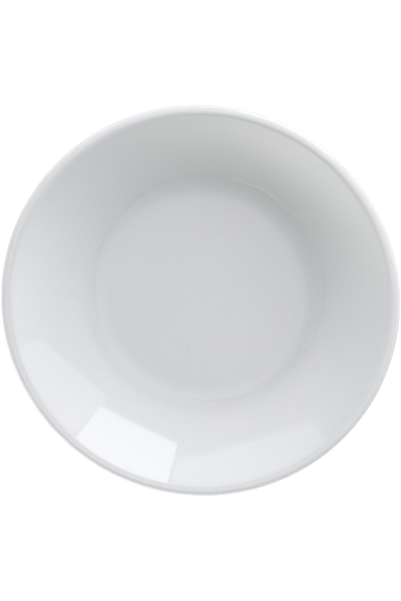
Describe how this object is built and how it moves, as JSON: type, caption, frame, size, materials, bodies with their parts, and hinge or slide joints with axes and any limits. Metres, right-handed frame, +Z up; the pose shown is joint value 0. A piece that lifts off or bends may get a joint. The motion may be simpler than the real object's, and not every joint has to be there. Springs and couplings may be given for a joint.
{
  "type": "soy sauce dish",
  "caption": "Small round white porcelain dish for soy sauce, with a flat floor, a gently hollow sloping wall and a rounded lip, glazed all over but for its bare foot ring.",
  "frame": {"origin": "centre of the circle on which the foot ring stands, at table level", "axes": "+Z up along the dish's axis of revolution, +X and +Y across the dish"},
  "size_m": [0.095, 0.095, 0.019],
  "materials": {
    "bare_porcelain": "matte, unglazed",
    "white_glaze": "gloss"
  },
  "bodies": {
    "root": {"porcelain_body": "bare_porcelain", "glaze_coat": "white_glaze", "foot_recess_glaze": "white_glaze"}
  },
  "joints": []
}
